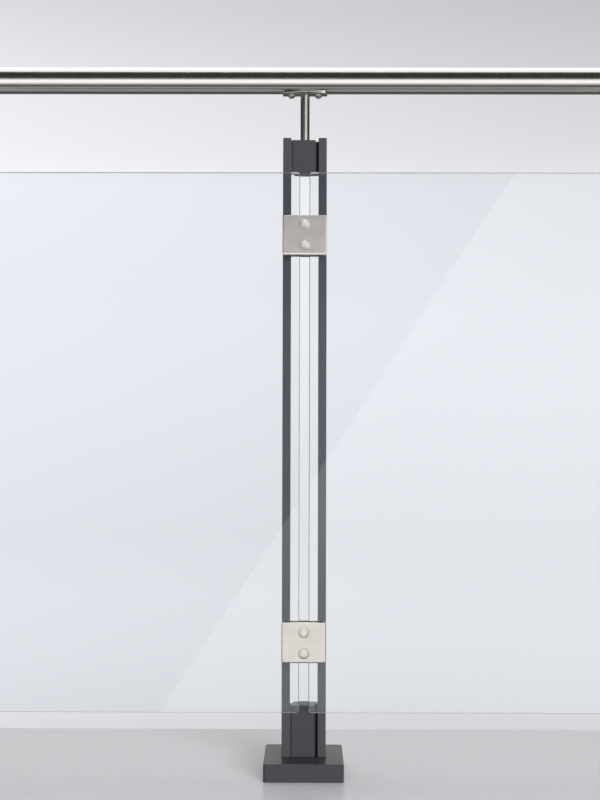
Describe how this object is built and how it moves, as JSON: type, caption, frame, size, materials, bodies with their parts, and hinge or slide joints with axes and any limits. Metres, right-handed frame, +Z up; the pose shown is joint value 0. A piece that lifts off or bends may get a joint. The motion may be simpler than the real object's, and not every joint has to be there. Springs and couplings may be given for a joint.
{
  "type": "aluminium balustrade",
  "caption": "Balustrade post of two flat bars on a covered floor flange, with square clamps holding a glass panel on each side and a round handrail on a pin and saddle.",
  "frame": {"origin": "on the floor, at the middle of the floor cover", "axes": "+X along the handrail, to the right as seen from the glass side; +Y from the glass side to the back; +Z up"},
  "size_m": [1, 0.125, 1.1302],
  "materials": {
    "powder_coat": "fine satin anthracite powder coat on aluminium",
    "satin_stainless": "satin stainless steel",
    "rail_stainless": "bright stainless steel, finely ground",
    "clear_glass": "clear toughened glass with ground edges",
    "pad_rubber": "matt black rubber",
    "fastener_steel": "plain steel"
  },
  "bodies": {
    "root": {"base_cover": "powder_coat", "base_plate": "fastener_steel", "block_screws": "fastener_steel", "bridge_screws": "fastener_steel", "end_cap_left": "rail_stainless", "end_cap_right": "rail_stainless", "foot_block": "powder_coat", "foot_screws": "fastener_steel", "glass_left": "clear_glass", "glass_right": "clear_glass", "handrail": "rail_stainless", "head_block": "powder_coat", "lower_back_pad": "pad_rubber", "lower_clamp_back": "satin_stainless", "lower_clamp_bolts": "satin_stainless", "lower_clamp_bridge": "powder_coat", "lower_clamp_nuts": "fastener_steel", "lower_clamp_plate": "satin_stainless", "lower_front_pad": "pad_rubber", "post_bar_left": "powder_coat", "post_bar_right": "powder_coat", "rail_pin": "rail_stainless", "rail_saddle": "rail_stainless", "rivet_nuts": "fastener_steel", "saddle_core_screw": "fastener_steel", "saddle_screws": "rail_stainless", "upper_back_pad": "pad_rubber", "upper_clamp_back": "satin_stainless", "upper_clamp_bolts": "satin_stainless", "upper_clamp_bridge": "powder_coat", "upper_clamp_nuts": "fastener_steel", "upper_clamp_plate": "satin_stainless", "upper_front_pad": "pad_rubber"}
  },
  "joints": []
}
